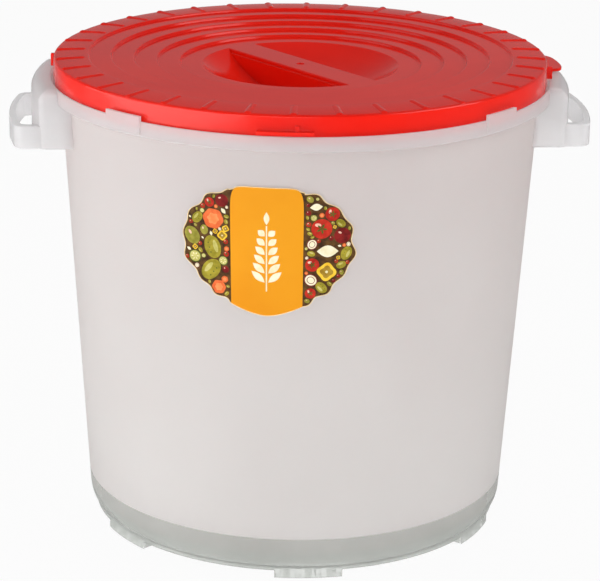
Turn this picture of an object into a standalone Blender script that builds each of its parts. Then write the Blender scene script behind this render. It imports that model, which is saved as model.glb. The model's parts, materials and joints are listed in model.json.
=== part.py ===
# Pickling tub: a round translucent tub with two moulded handles, and a red lid that lifts off.
# All lengths are in metres. The axis of the tub is Z, the handles lie along X, the front is -Y,
# and the origin is the middle of the circle on which the feet stand.

import math

import bmesh
import bpy

# Driving sizes of the tub
foot_height = 0.0052
base_height = 0.0036
wall_base_radius = 0.1425
wall_slope_share = 0.0620
corner_radius = 0.0155
wall = 0.0023
ledge_height = 0.2980
ledge_wall = 0.0020
lip_height = 0.0100
lip_wall = 0.0018
lip_reach = 0.0080
rim_height = 0.0213

# Foot ring and its six feet
foot_overhang = 0.0113
foot_wall = 0.0015
foot_count = 6
foot_spread = math.radians(18.6)
foot_rib_count = 4
foot_rib_width = 0.0037
foot_rib_depth = 0.0100
foot_end_gap = 0.0003

# Catches that stand on the collar
catch_angle = math.radians(45.2)
catch_spread = math.radians(10.0)
catch_rise = 0.0035
catch_wall = 0.0012

# Handles
shoulder_overhang = 0.0116
shoulder_half_width = 0.0480
shoulder_corner = 0.0060
shoulder_trim = 0.0008
shoulder_round = 0.0075
handle_wall = 0.0025
grip_space = 0.0104
grip_half_width = 0.0470
grip_wall = 0.0045
grip_side_wall = 0.0050
grip_corner = 0.0080
grip_inner_corner = 0.0050
grip_height = 0.0155
handle_height = 0.0395

# Driving sizes of the lid
lid_overhang = 0.0043
lid_skin = 0.0024
lid_rest_gap = 0.0003
skirt_wall = 0.0018
skirt_flare = 0.0005
skirt_gap = 0.0030
edge_radius = 0.0012
plug_gap = 0.0005
plug_wall = 0.0016
plug_depth = 0.0080
terrace_count = 5
terrace_pitch = 0.0153
terrace_rise = 0.0019
terrace_fall = 0.0004
edge_drop = 0.0008
riser_run = 0.0006
rib_band = 0.0230

# Ribs around the edge of the lid
rib_count = 36
rib_width = 0.0064
rib_rise = 0.0004
rib_gap = 0.0015
rib_edge_gap = 0.0010
rib_sink = 0.0012

# Hand recess and grip bar in the middle of the lid
recess_radius = 0.0662
recess_depth = 0.0220
bar_angle = math.radians(-55.5)
bar_width = 0.0230
bar_lip = 0.0008
bar_lip_height = 0.0024
bar_wall = 0.0017
bar_end_gap = 0.0075
dimple_radius = 0.0028
dimple_depth = 0.0006

# Lug, fins and pull tab on the edge of the lid
lug_angle = math.radians(-97.2)
lug_spread = math.radians(12.2)
lug_reach = 0.0046
lug_wall = 0.0020
lug_clearance = 0.0012
pointer_shift = math.radians(2.6)
pointer_reach = 0.0022
pointer_height = 0.0034
pointer_width = 0.0030
fin_reach = 0.0036
fin_width = 0.0030
fin_height = 0.0085
fin_clearance = 0.0008
tab_angle = math.radians(6.0)
tab_spread = math.radians(14.0)
tab_reach = 0.0130
tab_power = 4.0

# Label on the front of the wall
label_angle = math.radians(-101.3)
label_drop = 0.0682
label_half_width = 0.0553
label_half_height = 0.0429
label_band_half_width = 0.0235
label_band_half_height = 0.0432
label_scallop = 0.0015
label_scallop_count = 21
label_wall = 0.0003
label_gap = 0.0003
label_top_power = 2.4
label_bottom_power = 1.8
label_band_power = 9.0
label_fold_width = 0.0060

# Colours and roughness of the three plastics
tub_colour = (0.80, 0.77, 0.76)
tub_roughness = 0.45
lid_colour = (0.72, 0.03, 0.015)
lid_roughness = 0.30
label_colour = (0.90, 0.42, 0.05)
label_roughness = 0.35

# Fineness of the round shapes, and one overrun for every cut
turn_steps = 72
corner_steps = 6
recess_steps = 6
edge_steps = 3
round_steps = 8
tab_points = 16
label_points = 126
overrun = 0.0050
weld_distance = 0.00003
crease_angle = math.radians(30.0)

# Places that follow from the driving sizes
full_turn = 2.0 * math.pi
quarter_turn = 0.5 * math.pi
wall_lean = math.atan(wall_slope_share)
corner_height = base_height + corner_radius
ledge_top = ledge_height + ledge_wall
lip_top = ledge_height + lip_height
rim_top = ledge_height + rim_height
lid_under = rim_top + lid_rest_gap
lid_top = lid_under + lid_skin


def wall_radius(height):
    """Outside radius of the sloping wall at a height."""
    return wall_base_radius + wall_slope_share * height


rim_radius = wall_radius(ledge_top)
lip_radius = wall_radius(ledge_height) + lip_reach
corner_touch = corner_height - corner_radius * math.sin(wall_lean)
corner_centre = wall_radius(corner_touch) - corner_radius * math.cos(wall_lean)
foot_radius = corner_centre + foot_overhang
shoulder_reach = lip_radius + shoulder_overhang
grip_radius = shoulder_reach + grip_space + grip_wall
lid_radius = rim_radius + lid_overhang
terrace_step = terrace_rise - terrace_fall
floor_of_lid = lid_top - terrace_count * terrace_step
terrace_edge = lid_radius - rib_band
terrace_radius = terrace_edge - riser_run - (terrace_count - 1) * terrace_pitch
label_centre_height = ledge_height - label_drop
recess_ball = (recess_radius ** 2 + recess_depth ** 2) / (2.0 * recess_depth)
recess_centre = floor_of_lid + recess_ball - recess_depth
skirt_bottom = ledge_top + skirt_gap
lug_bottom = lip_top + lug_clearance


def arc(centre_x, centre_y, radius, start, end, steps):
    """Points along an arc, both ends included."""
    turns = [start + (end - start) * i / steps for i in range(steps + 1)]
    return [(centre_x + radius * math.cos(a), centre_y + radius * math.sin(a)) for a in turns]


def solid(name, mesh):
    """Put a closed mesh in the scene as an object."""
    bmesh.ops.recalc_face_normals(mesh, faces=mesh.faces[:])
    data = bpy.data.meshes.new(name)
    mesh.to_mesh(data)
    mesh.free()
    item = bpy.data.objects.new(name, data)
    bpy.context.collection.objects.link(item)
    return item


def turned(name, outline):
    """Spin an outline of radius and height points, which starts and ends on the axis."""
    mesh = bmesh.new()
    points = [mesh.verts.new((r, 0.0, z)) for r, z in outline]
    edges = [mesh.edges.new(pair) for pair in zip(points, points[1:])]
    bmesh.ops.spin(mesh, geom=points + edges, cent=(0.0, 0.0, 0.0), axis=(0.0, 0.0, 1.0),
                   angle=full_turn, steps=turn_steps, use_merge=True)
    bmesh.ops.remove_doubles(mesh, verts=mesh.verts[:], dist=weld_distance)
    return solid(name, mesh)


def prism(name, outlines, bottom, top):
    """Raise flat outlines in X and Y into separate upright solids."""
    mesh = bmesh.new()
    for outline in outlines:
        foot = mesh.faces.new([mesh.verts.new((x, y, bottom)) for x, y in outline])
        raised = bmesh.ops.extrude_face_region(mesh, geom=[foot])["geom"]
        moved = [v for v in raised if isinstance(v, bmesh.types.BMVert)]
        bmesh.ops.translate(mesh, verts=moved, vec=(0.0, 0.0, top - bottom))
    return solid(name, mesh)


def combine(base, tool, operation):
    """Join a tool to a solid, or cut it away, and drop the tool."""
    step = base.modifiers.new(operation.lower(), "BOOLEAN")
    step.operation = operation
    step.solver = "EXACT"
    step.object = tool
    bpy.context.view_layer.update()
    graph = bpy.context.evaluated_depsgraph_get()
    shape = bpy.data.meshes.new_from_object(base.evaluated_get(graph))
    base.modifiers.clear()
    mesh = bmesh.new()
    mesh.from_mesh(shape)
    bmesh.ops.remove_doubles(mesh, verts=mesh.verts[:], dist=weld_distance)
    mesh.to_mesh(shape)
    mesh.free()
    base.data = shape
    bpy.data.objects.remove(tool)


def sector(inner, outer, middle, spread, steps):
    """Outline of a piece of a ring."""
    start, end = middle - 0.5 * spread, middle + 0.5 * spread
    return arc(0.0, 0.0, outer, start, end, steps) + arc(0.0, 0.0, inner, end, start, steps)


def turned_point(x, y, angle):
    """Turn a point about the axis."""
    return (x * math.cos(angle) - y * math.sin(angle), x * math.sin(angle) + y * math.cos(angle))


def bar_outline(inner, outer, width, angle):
    """Outline of a straight bar that runs outwards along an angle."""
    half = 0.5 * width
    corners = [(inner, -half), (outer, -half), (outer, half), (inner, half)]
    return [turned_point(x, y, angle) for x, y in corners]


def finish(item, colour, roughness):
    """Give a piece its plastic and smooth shading with crisp edges."""
    plastic = bpy.data.materials.new(item.name)
    plastic.use_nodes = True
    shader = plastic.node_tree.nodes["Principled BSDF"]
    shader.inputs["Base Color"].default_value = (*colour, 1.0)
    shader.inputs["Roughness"].default_value = roughness
    shader.inputs["Metallic"].default_value = 0.0
    item.data.materials.clear()
    item.data.materials.append(plastic)
    item.data.shade_smooth()
    item.data.set_sharp_from_angle(angle=crease_angle)


def tub_shell():
    """The cup itself: base, round corner, sloping wall, collar with its lip, and the rim."""
    lean = wall / math.cos(wall_lean)
    outline = [(0.0, base_height)]
    outline += arc(corner_centre, corner_height, corner_radius, -quarter_turn, -wall_lean, corner_steps)
    outline += [(wall_radius(ledge_height), ledge_height), (lip_radius, ledge_height)]
    outline += [(lip_radius, lip_top), (lip_radius - lip_wall, lip_top)]
    outline += [(lip_radius - lip_wall, ledge_top), (rim_radius, ledge_top)]
    outline += [(rim_radius, rim_top), (rim_radius - lean, rim_top), (rim_radius - lean, ledge_top)]
    outline += arc(corner_centre, corner_height, corner_radius - wall, -wall_lean, -quarter_turn,
                   corner_steps)
    outline += [(0.0, base_height + wall)]
    return turned("tub", outline)


def tub_core():
    """The space inside the middle of the wall, cut from what is moulded on outside."""
    half = 0.5 * wall
    outline = [(0.0, base_height + half)]
    outline += arc(corner_centre, corner_height, corner_radius - half, -quarter_turn, -wall_lean,
                   corner_steps)
    outline += [(wall_radius(ledge_height) - half, ledge_height + 0.5 * ledge_wall)]
    outline += [(lip_radius - 0.5 * lip_wall, ledge_height + 0.5 * ledge_wall)]
    outline += [(lip_radius - 0.5 * lip_wall, rim_top + overrun), (0.0, rim_top + overrun)]
    return turned("core", outline)


def mould_on(tub, piece):
    """Trim a piece to the outside of the wall and make it one with the tub."""
    combine(piece, tub_core(), "DIFFERENCE")
    combine(tub, piece, "UNION")


def grip_outline(half_width, radius, corner):
    """Plan of the grip: straight sides, round corners and an edge that follows the tub."""
    reach = math.sqrt((radius - corner) ** 2 - (half_width - corner) ** 2)
    turn = math.atan2(half_width - corner, reach)
    root = corner_centre
    outline = [(root, -half_width)]
    outline += arc(reach, corner - half_width, corner, -quarter_turn, -turn, edge_steps)
    outline += arc(0.0, 0.0, radius, -turn, turn, round_steps)[1:-1]
    outline += arc(reach, half_width - corner, corner, turn, quarter_turn, edge_steps)
    outline += [(root, half_width)]
    return outline


def shoulder_block(side, inset, bottom):
    """A block with the plan of a shoulder and a round outer edge at the top, smaller by an inset."""
    top = lip_top - inset
    plan = grip_outline(shoulder_half_width - inset, shoulder_reach + shoulder_trim - inset,
                        shoulder_corner - inset)
    block = prism("block", [[(side * x, y) for x, y in plan]], bottom, top + overrun)
    reach, edge = shoulder_reach - inset, shoulder_round - inset
    outline = [(0.0, bottom - overrun), (reach, bottom - overrun)]
    outline += arc(reach - edge, top - edge, edge, 0.0, quarter_turn, edge_steps) + [(0.0, top)]
    outline[-2] = (reach - edge, top)
    combine(block, turned("dome", outline), "INTERSECT")
    return block


def add_handle(tub, side):
    """A hollow shoulder under the collar with an open grip around it."""
    handle_bottom = lip_top - handle_height
    shoulder = shoulder_block(side, 0.0, handle_bottom)
    combine(shoulder, shoulder_block(side, handle_wall, handle_bottom - overrun), "DIFFERENCE")
    mould_on(tub, shoulder)

    outer = grip_outline(grip_half_width, grip_radius, grip_corner)
    inner = grip_outline(grip_half_width - grip_side_wall, grip_radius - grip_wall, grip_inner_corner)
    grip_top = handle_bottom + grip_height
    grip = prism("grip", [[(side * x, y) for x, y in outer]], handle_bottom, grip_top)
    gap = prism("gap", [[(side * x, y) for x, y in inner]], handle_bottom - overrun, grip_top + overrun)
    combine(grip, gap, "DIFFERENCE")
    mould_on(tub, grip)


def add_catches(tub):
    """Four flat catches that stand on the collar outside the skirt of the lid."""
    places = [catch_angle - quarter_turn, -catch_angle - quarter_turn,
              quarter_turn - catch_angle, quarter_turn + catch_angle]
    outlines = [sector(lip_radius - lip_wall, lip_radius + catch_wall, a, catch_spread, edge_steps)
                for a in places]
    mould_on(tub, prism("catches", outlines, ledge_height + ledge_wall, lip_top + catch_rise))


def add_feet(tub):
    """A thin ring under the corner with six combed feet."""
    start = 0.5 * full_turn / turn_steps
    end = start + full_turn
    outside = arc(0.0, 0.0, foot_radius, start, end, turn_steps)[:-1]
    inside = arc(0.0, 0.0, foot_radius - foot_wall, start, end, turn_steps)[:-1]
    ring = prism("ring", [outside], 0.0, corner_height)
    bore = prism("bore", [inside], -overrun, corner_height + overrun)
    combine(ring, bore, "DIFFERENCE")

    foot_pitch = full_turn / foot_count
    feet = [foot_pitch * foot - quarter_turn for foot in range(foot_count)]
    spaces = [sector(foot_radius - 2.0 * foot_wall, foot_radius + foot_wall, middle + 0.5 * foot_pitch,
                     foot_pitch - foot_spread, round_steps) for middle in feet]
    combine(ring, prism("spaces", spaces, -overrun, foot_height), "DIFFERENCE")

    inner, outer = foot_radius - foot_rib_depth, foot_radius - 0.5 * foot_wall
    rib_spread = foot_spread - (foot_rib_width + 2.0 * foot_end_gap) / foot_radius
    ribs = []
    for middle in feet:
        for rib in range(foot_rib_count):
            share = rib / (foot_rib_count - 1) - 0.5
            ribs.append(bar_outline(inner, outer, foot_rib_width, middle + share * rib_spread))
    combine(ring, prism("ribs", ribs, 0.0, corner_height), "UNION")
    mould_on(tub, ring)


def make_tub():
    """The translucent tub, moulded in one piece with its handles, catches and feet."""
    tub = tub_shell()
    for side in (-1, 1):
        add_handle(tub, side)
    add_catches(tub)
    add_feet(tub)
    finish(tub, tub_colour, tub_roughness)
    return tub


def lid_shell():
    """The lid: bowl, terraces that climb to the edge, skirt, and the plug inside the rim."""
    ball_start = -quarter_turn
    ball_end = -math.acos(recess_radius / recess_ball)
    outline = arc(0.0, recess_centre, recess_ball, ball_start, ball_end, recess_steps)
    height = floor_of_lid
    for terrace in range(terrace_count):
        radius = terrace_radius + terrace * terrace_pitch
        outline += [(radius, height), (radius + riser_run, height + terrace_rise)]
        height += terrace_step
    outline[-1] = (outline[-1][0], lid_top)
    edge = lid_radius - edge_radius
    shoulder = lid_top - edge_drop - edge_radius
    outline += arc(edge, shoulder, edge_radius, quarter_turn, 0.0, edge_steps)
    foot = lid_radius + skirt_flare
    outline += [(foot, skirt_bottom), (foot - skirt_wall, skirt_bottom)]
    outline += [(lid_radius - skirt_wall, lid_under)]
    plug = rim_radius - wall / math.cos(wall_lean) - plug_gap
    plug_bottom = lid_under - plug_depth
    outline += [(plug, lid_under), (plug, plug_bottom), (plug - plug_wall, plug_bottom)]
    outline += [(plug - plug_wall, lid_under), (terrace_radius, floor_of_lid - lid_skin)]
    under_ball = recess_ball + lid_skin
    drop = recess_centre - floor_of_lid + lid_skin
    outline += arc(0.0, recess_centre, under_ball, -math.asin(drop / under_ball), ball_start,
                   recess_steps)
    outline[0] = (0.0, outline[0][1])
    outline[-1] = (0.0, outline[-1][1])
    return turned("lid", outline)


def recess_filler():
    """The space of the bowl, taken to the middle of its skin."""
    ball = recess_ball + 0.5 * lid_skin
    start = -math.asin((recess_centre - floor_of_lid) / ball)
    outline = [(0.0, floor_of_lid)]
    outline += arc(0.0, recess_centre, ball, start, -quarter_turn, recess_steps)
    outline[-1] = (0.0, outline[-1][1])
    return turned("filler", outline)


def add_bar(lid):
    """A grip bar across the bowl, flush with its edge, hollow from below."""
    length = recess_radius + overrun
    depth = floor_of_lid - recess_depth - lid_skin
    bar = prism("bar", [bar_outline(-length, length, bar_width + 2.0 * bar_lip, bar_angle)],
                depth, floor_of_lid - bar_lip_height)
    top = prism("top", [bar_outline(-length, length, bar_width, bar_angle)],
                floor_of_lid - bar_lip_height - overrun, floor_of_lid + overrun)
    combine(bar, top, "UNION")
    combine(bar, recess_filler(), "INTERSECT")
    combine(lid, bar, "UNION")

    reach = recess_radius - bar_end_gap
    hollow = bar_width - 2.0 * bar_wall
    slot = prism("slot", [bar_outline(-reach, reach, hollow, bar_angle)],
                 depth - overrun, floor_of_lid - bar_wall)
    combine(lid, slot, "DIFFERENCE")
    around = full_turn * (round_steps - 1) / round_steps
    ring = arc(0.0, 0.0, dimple_radius, 0.0, around, round_steps - 1)
    dimple = prism("dimple", [ring], floor_of_lid - dimple_depth, floor_of_lid + overrun)
    combine(lid, dimple, "DIFFERENCE")


def add_ribs(lid):
    """Flat ribs across the falling edge, with a round inner end."""
    half = 0.5 * rib_width
    inner = terrace_edge + rib_gap + half
    outer = lid_radius - rib_edge_gap
    ribs = []
    for rib in range(rib_count):
        angle = bar_angle + full_turn * rib / rib_count
        outline = [(outer, half)]
        outline += arc(inner, 0.0, half, quarter_turn, full_turn - quarter_turn, edge_steps)
        outline += [(outer, -half)]
        ribs.append([turned_point(x, y, angle) for x, y in outline])
    combine(lid, prism("ribs", ribs, lid_top - rib_sink, lid_top + rib_rise), "UNION")


def rounded_tab(inner, reach, middle, spread):
    """Plan of a tab on the edge whose outer corners are round."""
    outline = []
    for i in range(tab_points + 1):
        share = 2.0 * i / tab_points - 1.0
        out = reach * (1.0 - abs(share) ** tab_power) ** (1.0 / tab_power)
        angle = middle + 0.5 * spread * share
        radius = lid_radius + skirt_flare + out
        outline.append((radius * math.cos(angle), radius * math.sin(angle)))
    return outline + arc(0.0, 0.0, inner, middle + 0.5 * spread, middle - 0.5 * spread, edge_steps)


def add_edge_pieces(lid):
    """The lug with its pointer, two fins, and the pull tab."""
    root = lid_radius - 0.5 * skirt_wall
    lug_top = lug_bottom + lug_wall
    lug = sector(root, lid_radius + lug_reach, lug_angle, lug_spread, edge_steps)
    combine(lid, prism("lug", [lug], lug_bottom, lug_top), "UNION")
    pointer = bar_outline(root, lid_radius + pointer_reach, pointer_width, lug_angle + pointer_shift)
    combine(lid, prism("pointer", [pointer], lug_top - 0.5 * lug_wall, lug_top + pointer_height), "UNION")
    fin_bottom = lip_top + fin_clearance
    for turn in (-quarter_turn, quarter_turn):
        fin = bar_outline(root, lid_radius + fin_reach, fin_width, lug_angle + turn)
        combine(lid, prism("fin", [fin], fin_bottom, fin_bottom + fin_height), "UNION")
    tab = rounded_tab(root, tab_reach, tab_angle, tab_spread)
    combine(lid, prism("tab", [tab], lug_bottom, lug_top), "UNION")


def make_lid():
    """The red lid, moulded in one piece with its bar, ribs and tab."""
    lid = lid_shell()
    add_bar(lid)
    add_ribs(lid)
    add_edge_pieces(lid)
    finish(lid, lid_colour, lid_roughness)
    return lid


def label_edge(angle):
    """Distance from the middle of the label to its cut edge."""
    low = math.sin(angle) < 0.0
    power = label_bottom_power if low else label_top_power
    mass = rounded(angle, label_half_width, label_half_height, power)
    mass += label_scallop * math.cos(label_scallop_count * angle)
    band = rounded(angle, label_band_half_width, label_band_half_height, label_band_power)
    return mass if low else max(mass, band)


def rounded(angle, half_width, half_height, power):
    """Edge of a rounded box, as a distance from its middle."""
    across = abs(math.cos(angle)) / half_width
    along = abs(math.sin(angle)) / half_height
    return (across ** power + along ** power) ** (-1.0 / power)


def make_label():
    """The label: thin film that follows the wall."""
    mesh = bmesh.new()
    turns = [full_turn * i / label_points for i in range(label_points)]
    edge = [(label_edge(a) * math.cos(a), label_edge(a) * math.sin(a)) for a in turns]
    mesh.faces.new([mesh.verts.new((x, y, 0.0)) for x, y in edge])
    folds = int(2.0 * label_half_width / label_fold_width)
    for fold in range(1, folds):
        place = (2.0 * fold / folds - 1.0) * label_half_width
        parts = mesh.verts[:] + mesh.edges[:] + mesh.faces[:]
        bmesh.ops.bisect_plane(mesh, geom=parts, plane_co=(place, 0.0, 0.0), plane_no=(1.0, 0.0, 0.0))
    raised = bmesh.ops.extrude_face_region(mesh, geom=mesh.faces[:])["geom"]
    moved = [v for v in raised if isinstance(v, bmesh.types.BMVert)]
    bmesh.ops.translate(mesh, verts=moved, vec=(0.0, 0.0, label_wall))
    middle = wall_radius(label_centre_height)
    for point in mesh.verts:
        height = label_centre_height + point.co.y
        angle = label_angle + point.co.x / middle
        radius = wall_radius(height) + label_gap + point.co.z
        point.co = (radius * math.cos(angle), radius * math.sin(angle), height)
    label = solid("label", mesh)
    finish(label, label_colour, label_roughness)
    return label


for item in list(bpy.data.objects):
    bpy.data.objects.remove(item)

make_tub()
make_lid()
make_label()
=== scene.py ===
# %% [markdown]
# # A pickling tub with a press-on lid
# The object is a round plastic tub of about twenty litres. Its wall is frosted and lets light through,
# its base is a clear polished corner on six low feet, and a red lid with rising terraces covers it. The
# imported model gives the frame: three solids, `tub`, `label` and `lid`, and one slide that lifts the
# lid. This lesson makes a finer mesh for each of the three, with the round edges and the finishes that
# a moulding has, puts them on the same bodies, and lights them as a plain studio would.

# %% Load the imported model
import json
import math
import random

import bmesh
import bpy
from mathutils import Matrix, Vector

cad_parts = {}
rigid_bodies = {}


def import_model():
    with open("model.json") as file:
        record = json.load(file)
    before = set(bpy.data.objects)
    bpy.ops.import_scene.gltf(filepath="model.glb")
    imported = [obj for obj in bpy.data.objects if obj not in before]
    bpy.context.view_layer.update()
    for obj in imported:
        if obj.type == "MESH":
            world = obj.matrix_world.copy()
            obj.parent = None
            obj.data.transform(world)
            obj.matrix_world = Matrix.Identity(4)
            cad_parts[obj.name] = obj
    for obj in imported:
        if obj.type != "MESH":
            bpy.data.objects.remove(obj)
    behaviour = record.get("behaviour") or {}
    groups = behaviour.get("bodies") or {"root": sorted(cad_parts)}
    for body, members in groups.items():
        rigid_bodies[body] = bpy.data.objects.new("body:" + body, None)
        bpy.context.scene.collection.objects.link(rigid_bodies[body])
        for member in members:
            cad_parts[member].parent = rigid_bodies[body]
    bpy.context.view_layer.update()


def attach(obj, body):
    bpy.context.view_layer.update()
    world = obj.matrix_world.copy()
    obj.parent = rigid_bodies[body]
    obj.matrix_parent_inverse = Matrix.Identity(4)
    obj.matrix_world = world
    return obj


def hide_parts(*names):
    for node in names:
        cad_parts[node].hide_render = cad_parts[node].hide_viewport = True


for item in list(bpy.data.objects):
    bpy.data.objects.remove(item)
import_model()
full_turn = 2.0 * math.pi
quarter_turn = 0.5 * math.pi

# %% [markdown]
# ## The camera
# The photograph looks down on the lid from about eighteen degrees, from rather close by, so the near
# side of the base hangs clearly lower than its two ends. A camera could be aimed by eye, but then each
# shape would be judged in a wrong view, so its values were found by laying points of the tub over the
# photograph. The camera comes first, because it shows at once whether the rest fits.

# %% Set the camera
picture_width = 600
camera_distance = 1.8
camera_focal = 2600.8
camera_elevation = math.radians(18.227)
camera_roll = math.radians(0.845)
camera_turn = math.radians(4.2)
aim_height = 0.153865
aim_side = -2.745
sensor_width = 36.0


def make_camera():
    """A camera at the photograph's viewing angle."""
    around = -quarter_turn - camera_turn
    right = Vector((-math.sin(around), math.cos(around), 0.0))
    aim = Vector((0.0, 0.0, aim_height)) - right * (aim_side * camera_distance / camera_focal)
    level = math.cos(camera_elevation)
    away = Vector((level * math.cos(around), level * math.sin(around), math.sin(camera_elevation)))
    data = bpy.data.cameras.new("camera")
    data.sensor_fit = "HORIZONTAL"
    data.sensor_width = sensor_width
    data.lens = camera_focal / picture_width * sensor_width
    data.clip_end = 60.0
    camera = bpy.data.objects.new("camera", data)
    bpy.context.collection.objects.link(camera)
    look = (-away).to_track_quat("-Z", "Y").to_matrix().to_4x4()
    place = Matrix.Translation(aim + camera_distance * away)
    camera.matrix_world = place @ look @ Matrix.Rotation(camera_roll, 4, "Z")
    return camera


bpy.context.scene.camera = make_camera()
print("camera stands at", [round(v, 3) for v in bpy.context.scene.camera.matrix_world.translation])

# %% [markdown]
# ## Tools for moulded shapes
# Nearly everything on this tub is either turned about the axis or raised straight up from a plan.
# Cylinders and boxes pulled into shape would do for a sketch, but here each wall and round has a size
# of its own. So a lathe that spins an outline makes the first kind, and an extruded plan with bevelled
# edges makes the second. Moulded plastic has no knife edges, so a third helper rounds each corner of an
# outline by its own radius. Exact Booleans then join the pieces into one skin, as in the real moulding.

# %% Helpers: arc, round corners and the lathe
turn_steps = 180
weld_distance = 0.00002
overrun = 0.0050


def arc(centre_x, centre_y, radius, start, end, steps):
    """Points along an arc, both ends included."""
    turns = [start + (end - start) * i / steps for i in range(steps + 1)]
    return [(centre_x + radius * math.cos(a), centre_y + radius * math.sin(a)) for a in turns]


def rounded(corners, steps=3):
    """Replace each corner (x, y, radius) of an open line by a small arc of that radius."""
    line = []
    for i, (x, y, radius) in enumerate(corners):
        here = Vector((x, y))
        if radius == 0.0 or i in (0, len(corners) - 1):
            line.append((x, y))
            continue
        before = (Vector(corners[i - 1][:2]) - here).normalized()
        after = (Vector(corners[i + 1][:2]) - here).normalized()
        half = 0.5 * before.angle(after)
        centre = here + (before + after).normalized() * (radius / math.sin(half))
        start = here + before * (radius / math.tan(half)) - centre
        end = here + after * (radius / math.tan(half)) - centre
        for step in range(steps + 1):
            share = step / steps
            spoke = (start * (1.0 - share) + end * share).normalized() * radius
            line.append(tuple(centre + spoke))
    return line


def sharp(points):
    """Points of an arc as corners that stay as they are."""
    return [(x, y, 0.0) for x, y in points]


def as_object(name, mesh):
    """Put a closed mesh in the scene as an object."""
    bmesh.ops.recalc_face_normals(mesh, faces=mesh.faces[:])
    data = bpy.data.meshes.new(name)
    mesh.to_mesh(data)
    mesh.free()
    item = bpy.data.objects.new(name, data)
    bpy.context.collection.objects.link(item)
    return item


def lathe(name, outline):
    """Spin an outline of radius and height points, which starts and ends on the axis."""
    mesh = bmesh.new()
    points = [mesh.verts.new((r, 0.0, z)) for r, z in outline]
    edges = [mesh.edges.new(pair) for pair in zip(points, points[1:])]
    bmesh.ops.spin(mesh, geom=points + edges, cent=(0.0, 0.0, 0.0), axis=(0.0, 0.0, 1.0),
                   angle=full_turn, steps=turn_steps, use_merge=True)
    bmesh.ops.remove_doubles(mesh, verts=mesh.verts[:], dist=weld_distance)
    return as_object(name, mesh)


print("a quarter arc has", len(arc(0.0, 0.0, 1.0, 0.0, quarter_turn, 6)), "points")

# %% Helpers: raised plans, Booleans and shading
bevel_angle = math.radians(40.0)
crease_angle = math.radians(32.0)


def push(mesh, faces, way):
    """Extrude faces of a mesh along a way."""
    pushed = bmesh.ops.extrude_face_region(mesh, geom=faces)["geom"]
    moved = [v for v in pushed if isinstance(v, bmesh.types.BMVert)]
    bmesh.ops.translate(mesh, verts=moved, vec=way)


def raised(name, plans, bottom, top, soften=0.0):
    """Raise flat plans into upright solids and round their sharp edges."""
    mesh = bmesh.new()
    for plan in plans:
        foot = mesh.faces.new([mesh.verts.new((x, y, bottom)) for x, y in plan])
        push(mesh, [foot], (0.0, 0.0, top - bottom))
    bmesh.ops.recalc_face_normals(mesh, faces=mesh.faces[:])
    if soften:
        crisp = [e for e in mesh.edges if e.calc_face_angle(0.0) > bevel_angle]
        bmesh.ops.bevel(mesh, geom=crisp, offset=soften, segments=3, profile=0.5, affect="EDGES")
    return as_object(name, mesh)


def combine(base, tool, operation):
    """Join a tool to a solid, or cut it away, and drop the tool."""
    step = base.modifiers.new(operation.lower(), "BOOLEAN")
    step.operation = operation
    step.solver = "EXACT"
    step.object = tool
    bpy.context.view_layer.update()
    graph = bpy.context.evaluated_depsgraph_get()
    base.data = bpy.data.meshes.new_from_object(base.evaluated_get(graph))
    base.modifiers.clear()
    bpy.data.objects.remove(tool)


def turned_point(x, y, angle):
    """Turn a point about the axis."""
    return (x * math.cos(angle) - y * math.sin(angle), x * math.sin(angle) + y * math.cos(angle))


def bar_plan(inner, outer, width, angle):
    """Plan of a straight bar that runs outwards along an angle."""
    half = 0.5 * width
    corners = [(inner, -half), (outer, -half), (outer, half), (inner, half)]
    return [turned_point(x, y, angle) for x, y in corners]


def sector(inner, outer, middle, spread, steps):
    """Plan of a piece of a ring."""
    start, end = middle - 0.5 * spread, middle + 0.5 * spread
    return arc(0.0, 0.0, outer, start, end, steps) + arc(0.0, 0.0, inner, end, start, steps)


def shade(item):
    """Smooth shading that keeps corners crisp and wide faces flat next to their small rounds."""
    item.data.shade_smooth()
    item.data.set_sharp_from_angle(angle=crease_angle)
    steady = item.modifiers.new("steady_normals", "WEIGHTED_NORMAL")
    steady.mode = "FACE_AREA"
    steady.keep_sharp = True
    print(item.name, "has", len(item.data.polygons), "faces")


# %% [markdown]
# ## The tub: base, corner, wall, collar and rim
# The cup is one turned shape. From the middle of the base the outline goes out to a round corner, up
# the wall that opens by three and a half degrees, out along the collar that carries the lid, up its
# lip, back in to the standing rim, and down again inside. Drawing both sides in one line, rather than
# thickening a single surface, keeps every wall as thick as it really is. One more ring of points sits
# where the frosted finish begins, so that the corner below it can have a clean edge.

# %% Turn the shell of the tub
base_height = 0.0036
wall_base_radius = 0.1425
wall_slope_share = 0.0620
corner_radius = 0.0155
wall = 0.0023
ledge_height = 0.2980
ledge_top = 0.3000
lip_top = 0.3080
lip_wall = 0.0018
lip_reach = 0.0080
rim_top = 0.3193
frost_height = 0.0295
corner_steps = 12
wall_lean = math.atan(wall_slope_share)
level_wall = wall / math.cos(wall_lean)
corner_height = base_height + corner_radius


def wall_radius(height):
    """Outside radius of the sloping wall at a height."""
    return wall_base_radius + wall_slope_share * height


corner_touch = corner_height - corner_radius * math.sin(wall_lean)
corner_centre = wall_radius(corner_touch) - corner_radius * math.cos(wall_lean)
rim_radius = wall_radius(ledge_top)
lip_radius = wall_radius(ledge_height) + lip_reach
edge_round = 0.0007
fine_round = 0.5 * edge_round
lip_round = 0.00085
hollow_round = 0.0010


def corner_arc(radius):
    """The round corner of the base, from the floor up to the wall."""
    return arc(corner_centre, corner_height, radius, -quarter_turn, -wall_lean, corner_steps)


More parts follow.
